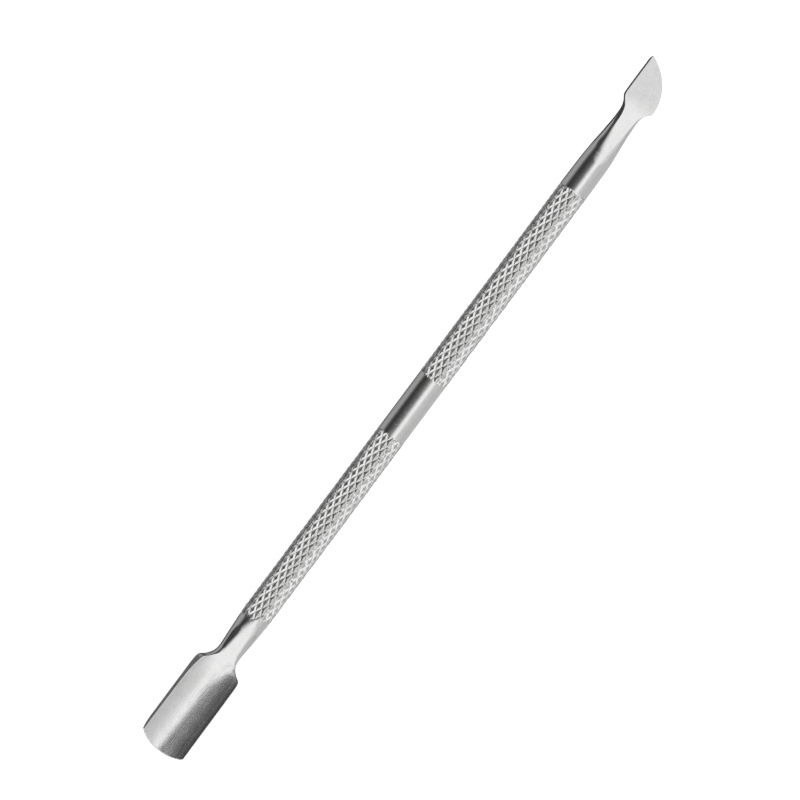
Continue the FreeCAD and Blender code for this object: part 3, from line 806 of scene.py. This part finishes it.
def handle_steel():
    material, net, shader, xyz = metal("handle_steel_knurled")
    x, y, z = net.add("ShaderNodeSeparateXYZ", {0: xyz}).outputs
    angle = net.math("ARCTAN2", y, z)
    valley = net.add("ShaderNodeAttribute", attribute_name="valley").outputs["Fac"]
    worked = net.add("ShaderNodeAttribute", attribute_name="worked").outputs["Fac"]

    def turned(per_mm, per_radian, offset, detail, roughness):
        """Lathe lines that run round the bar."""
        place = net.combine(net.times(x, per_mm), net.times(angle, per_radian), offset)
        return net.noise(place, detail, roughness)

    lathe = turned(per_mm=5.5, per_radian=2.2, offset=0.0, detail=3.0, roughness=0.65)
    fine = turned(per_mm=17.0, per_radian=3.6, offset=4.0, detail=2.0, roughness=0.6)
    speck = net.noise(xyz, detail=3.0, roughness=0.7, scale=(5.0, 5.0, 5.0))
    torn = net.noise(xyz, detail=3.0, roughness=0.72, scale=(2.1, 2.9, 2.9))
    blot = net.noise(xyz, detail=3.0, roughness=0.55, scale=(0.8, 1.1, 1.1))
    tone = net.remap(blot, WIDE, to=(0.80, 0.88))
    tone = net.times(tone, net.remap(lathe, WIDE, to=(0.95, 1.05)))
    tone = net.times(tone, net.remap(speck, span=(0.30, 0.42), to=(0.88, 1.0)))
    # painted highlight on the groove flanks and painted shade on the tops of the diamonds, set by
    # groove depth
    painted_groove_light = net.math("SUBTRACT", net.remap(valley, span=(0.05, 0.35), to=(0.80, 1.14)), 1.0)
    tone = net.times(tone, net.plus(net.times(painted_groove_light, worked), 1.0))
    net.put(shader, "Base Color", net.tint(tone, warm=0.006))
    rough = net.remap(fine, CORE, to=(0.12, 0.18))
    rough = net.plus(rough, net.remap(valley, span=(0.1, 0.9), to=(0.0, 0.03)))
    net.put(shader, "Roughness", net.plus(rough, net.remap(blot, CORE, to=(-0.02, 0.03))))
    # height weights: turning lines, specks, and torn metal on the knurl only
    height = net.plus(net.times(lathe, 3.2), net.times(fine, 1.2))
    height = net.plus(height, net.times(speck, 0.6))
    height = net.plus(height, net.times(net.times(torn, worked), 9.0))
    net.bump(shader, height, strength=0.6, distance=0.000012)
    return material


def scratch_lines(net, x, y):
    """A few thin scratches, each family at its own slant."""
    lines = None
    # slant in radians, lines per millimetre, noise level where a scratch begins
    for slant, density, gate in ((0.55, 11.0, 0.72), (-0.9, 9.0, 0.74), (1.9, 12.0, 0.75)):
        cos, sin = math.cos(slant), math.sin(slant)
        along = net.plus(net.times(x, cos), net.times(y, sin))
        across = net.math("SUBTRACT", net.times(y, cos), net.times(x, sin))
        place = net.combine(net.times(along, 0.22), net.times(across, density), slant * 3)
        grooves = net.noise(place, detail=1.0, roughness=0.5)
        family = net.remap(grooves, span=(gate, gate + 0.06), to=(0.0, 1.0))
        lines = family if lines is None else net.math("MAXIMUM", lines, family)
    return net.times(lines, 0.5)


def forged_steel(name, streak, ground_start, ground_tone, ground_rough):
    """streak is how much the polishing lines vary the tone.  The ground part starts
    ground_start mm from the middle; its tone is multiplied and its roughness added to."""
    material, net, shader, xyz = metal(name)
    x, y, _ = net.add("ShaderNodeSeparateXYZ", {0: xyz}).outputs
    reach = net.math("ABSOLUTE", x)
    ground = net.remap(reach, span=(ground_start, ground_start + 2.5), to=(0.0, 1.0))
    # polishing lines run along the tool
    along = net.noise(xyz, detail=3.0, roughness=0.62, scale=(0.35, 7.0, 7.0))
    grain = net.noise(xyz, detail=3.0, roughness=0.7, scale=(5.0, 8.0, 8.0))
    blot = net.noise(xyz, detail=3.0, roughness=0.55, scale=(0.7, 1.0, 1.0))
    pits = net.noise(xyz, detail=2.0, roughness=0.6, scale=(3.2, 4.2, 4.2))
    lines = scratch_lines(net, x, y)
    tone = net.remap(blot, WIDE, to=(0.80, 0.885))
    tone = net.times(tone, net.remap(ground, span=(0.0, 1.0), to=(1.0, ground_tone)))
    tone = net.times(tone, net.remap(along, WIDE, to=(1.0 - streak, 1.0 + streak)))
    tone = net.times(tone, net.remap(grain, WIDE, to=(0.965, 1.03)))
    tone = net.times(tone, net.remap(pits, span=(0.27, 0.34), to=(0.80, 1.0)))
    tone = net.times(tone, net.remap(lines, span=(0.0, 1.0), to=(1.0, 0.86)))
    net.put(shader, "Base Color", net.tint(tone, warm=0.004))
    rough = net.remap(grain, CORE, to=(0.11, 0.17))
    rough = net.plus(rough, net.remap(blot, CORE, to=(-0.02, 0.03)))
    rough = net.plus(rough, net.times(ground, ground_rough))
    net.put(shader, "Roughness", net.plus(rough, net.times(lines, 0.10)))
    # height weights: lines and grain everywhere, more of both where ground, less scratches
    height = net.plus(net.times(along, 0.5), net.times(grain, 0.5))
    mottle = net.noise(xyz, detail=3.0, roughness=0.75, scale=(4.5, 6.5, 6.5))
    worked = net.plus(net.times(along, 2.2), net.times(mottle, 3.8))
    height = net.plus(height, net.times(worked, ground))
    height = net.math("SUBTRACT", height, net.times(lines, 1.0))
    net.bump(shader, height, strength=0.6, distance=0.000012)
    return material


def braze():
    material, net, shader, xyz = metal("silver_braze_alloy")
    flow = net.noise(xyz, detail=4.0, roughness=0.6, scale=(2.4, 3.0, 3.0))
    grain = net.noise(xyz, detail=3.0, roughness=0.7, scale=(14.0, 14.0, 14.0))
    tone = net.remap(flow, WIDE, to=(0.62, 0.80))
    tone = net.times(tone, net.remap(grain, WIDE, to=(0.92, 1.05)))
    net.put(shader, "Base Color", net.tint(tone, warm=0.07))
    net.put(shader, "Roughness", net.remap(flow, CORE, to=(0.28, 0.48)))
    height = net.plus(flow, net.times(grain, 0.3))
    net.bump(shader, height, strength=0.5, distance=0.00003)
    return material


def white_paper():
    """Diffuse sheet with a steady glow."""
    material = bpy.data.materials.new("white_paper")
    material.use_nodes = True
    net = Nodes(material.node_tree)
    out = net.add("ShaderNodeOutputMaterial")
    place = net.add("ShaderNodeTexCoord").outputs["Object"]
    fibre = net.noise(place, detail=3.0, roughness=0.6, scale=(900.0, 900.0, 900.0))
    fibre = net.remap(fibre, CORE, to=(0.60, 0.62))
    sheet = net.add("ShaderNodeBsdfDiffuse", {"Color": net.tint(fibre)})
    glow = net.add("ShaderNodeEmission", {"Color": (1.0, 1.0, 1.0, 1.0), "Strength": 0.80})
    both = net.add("ShaderNodeAddShader", {0: sheet.outputs[0], 1: glow.outputs[0]})
    net.put(out, "Surface", both.outputs[0])
    return material


# ------------------------------------------------------------------- pieces
handle = build_handle(handle_steel())
pusher = build_pusher(forged_steel(
    "forged_steel_pusher", streak=0.035, ground_start=46.0, ground_tone=1.04, ground_rough=-0.02
))
knife = build_knife(forged_steel(
    "forged_steel_knife", streak=0.03, ground_start=56.0, ground_tone=0.92, ground_rough=0.09
))
for piece, node, slot in (
    (handle, "handle", "handle_steel"),
    (pusher, "pusher_end", "forged_steel"),
    (knife, "blade_end", "forged_steel"),
):
    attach(piece, "root")
    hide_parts(node)

braze_material = braze()
for name in ("pusher_end_braze", "blade_end_braze"):
    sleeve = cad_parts[name]
    sleeve.data.materials.clear()
    sleeve.data.materials.append(braze_material)


# ------------------------------------------------------------------- studio
TOWARD = Vector((0.0, math.sin(ROLL), math.cos(ROLL)))      # towards the camera
ACROSS_TOOL = Vector((0.0, math.cos(ROLL), -math.sin(ROLL)))
ALONG_TOOL = Vector((1.0, 0.0, 0.0))
LIE = math.atan2(0.80193, 0.59742)                     # how far the tool lies round from level
RIGHT = math.cos(LIE) * ALONG_TOOL - math.sin(LIE) * ACROSS_TOOL
UP = math.sin(LIE) * ALONG_TOOL + math.cos(LIE) * ACROSS_TOOL
FIELD = 0.12199                                        # metres across the picture
FAR = 0.9                                              # metres from camera to target
SENSOR = 36.0
FLOOR_HALF = 0.45
STEEL_TONE = 0.84                                      # wall levels are as seen in this grey

# A long soft box over the -Y side, a dark gap beside it and grey walls.  Seen
# square to the tool the gap is dark; towards the tool's ends it is lit.  Entries
# are (degrees round the tool from the camera, positive towards -Y; sRGB level 0-255).
MIDDLE = [
    (-180, 35), (-158, 40), (-146, 110), (-134, 138), (-105, 154), (-88, 148), (-79, 122),
    (-71, 78), (-62, 54), (-50, 50), (-38, 55), (-27, 64), (-15, 82), (-6, 112), (0, 142),
    (6, 190), (12, 216), (19, 238), (27, 237), (35, 222), (44, 192), (62, 188), (84, 180),
    (110, 182), (150, 188), (180, 60),
]
ENDS = [
    (-180, 35), (-158, 45), (-140, 120), (-105, 150), (-80, 120), (-64, 60), (-52, 66),
    (-40, 124), (-28, 184), (-15, 216), (0, 228), (30, 233), (60, 226), (84, 200), (100, 150),
    (118, 90), (140, 60), (180, 40),
]


def linear(level):
    """sRGB level 0-255 to linear light."""
    value = level / 255.0
    return value / 12.92 if value <= 0.04045 else ((value + 0.055) / 1.055) ** 2.4


def build_world():
    """Walls for reflections, a soft even light for the rest, white for the camera."""
    world = bpy.data.worlds.new("soft_studio")
    scene.world = world
    world.use_nodes = True
    net = Nodes(world.node_tree)
    out = net.add("ShaderNodeOutputWorld")
    ray = net.add("ShaderNodeTexCoord").outputs["Generated"]
    across = net.times(net.vector("DOT_PRODUCT", ray, tuple(ACROSS_TOOL)), -1.0)
    toward = net.vector("DOT_PRODUCT", ray, tuple(TOWARD))
    along = net.vector("DOT_PRODUCT", ray, tuple(ALONG_TOOL))
    angle = net.math("ARCTAN2", across, toward)
    place = net.remap(angle, span=(-math.pi, math.pi), to=(0.0, 1.0))
    middle, ends = (
        net.ramp(place, [((a + 180.0) / 360.0, linear(level) / STEEL_TONE) for a, level in stops])
        for stops in (MIDDLE, ENDS)
    )
    reach = net.remap(net.math("ABSOLUTE", along), span=(0.12, 0.55), to=(0.0, 1.0))
    reach = net.math("SMOOTH_MAX", reach, second=0.0, third=0.1, clamp=True)
    walls = net.add("ShaderNodeMix", {0: reach, 6: middle, 7: ends}, data_type="RGBA").outputs[2]
    paths = net.add("ShaderNodeLightPath").outputs

    def background(color, strength):
        node = net.add("ShaderNodeBackground", {"Color": color, "Strength": strength})
        return node.outputs[0]

    def choose(factor, otherwise, chosen):
        return net.add("ShaderNodeMixShader", {0: factor, 1: otherwise, 2: chosen}).outputs[0]

    glossy = background(walls, strength=1.0)
    soft = background((0.95, 0.955, 0.96, 1.0), strength=0.55)
    white = background((1.0, 1.0, 1.0, 1.0), strength=1.0)
    lit = choose(paths["Is Glossy Ray"], soft, glossy)
    net.put(out, "Surface", choose(paths["Is Camera Ray"], lit, white))


def build_floor():
    material = white_paper()
    z = CAD_BOX[0][2]
    mesh = bpy.data.meshes.new("floor")
    corners = [(x * FLOOR_HALF, y * FLOOR_HALF, z) for x, y in ((-1, -1), (1, -1), (1, 1), (-1, 1))]
    mesh.from_pydata(corners, [], [(0, 1, 2, 3)])
    mesh.materials.append(material)
    floor = bpy.data.objects.new("floor", mesh)
    scene.collection.objects.link(floor)
    floor.visible_glossy = False


def build_lamp():
    light = bpy.data.lights.new("soft_box", "AREA")
    light.shape = "RECTANGLE"
    light.size, light.size_y = 0.5, 0.35
    light.energy = 0.9
    lamp = bpy.data.objects.new("soft_box", light)
    lamp.location = Vector((0.05, -0.22, 0.45))
    lamp.rotation_euler = (-lamp.location).to_track_quat("-Z", "Y").to_euler()
    lamp.visible_glossy = False
    scene.collection.objects.link(lamp)


def build_camera():
    data = bpy.data.cameras.new("camera")
    data.sensor_width = SENSOR
    data.lens = SENSOR * FAR / FIELD
    data.clip_start, data.clip_end = 0.05, 5.0
    camera = bpy.data.objects.new("camera", data)
    target = RIGHT * (-1.796 * MM) + UP * (1.164 * MM)
    columns = (RIGHT, UP, TOWARD, target + TOWARD * FAR)
    rows = [[column[i] for column in columns] for i in range(3)]
    camera.matrix_world = Matrix(rows + [[0.0, 0.0, 0.0, 1.0]])
    scene.collection.objects.link(camera)
    scene.camera = camera


build_world()
build_floor()
build_lamp()
build_camera()
scene.view_settings.view_transform = "Standard"
scene.cycles.use_denoising = False
scene.cycles.filter_width = 1.35
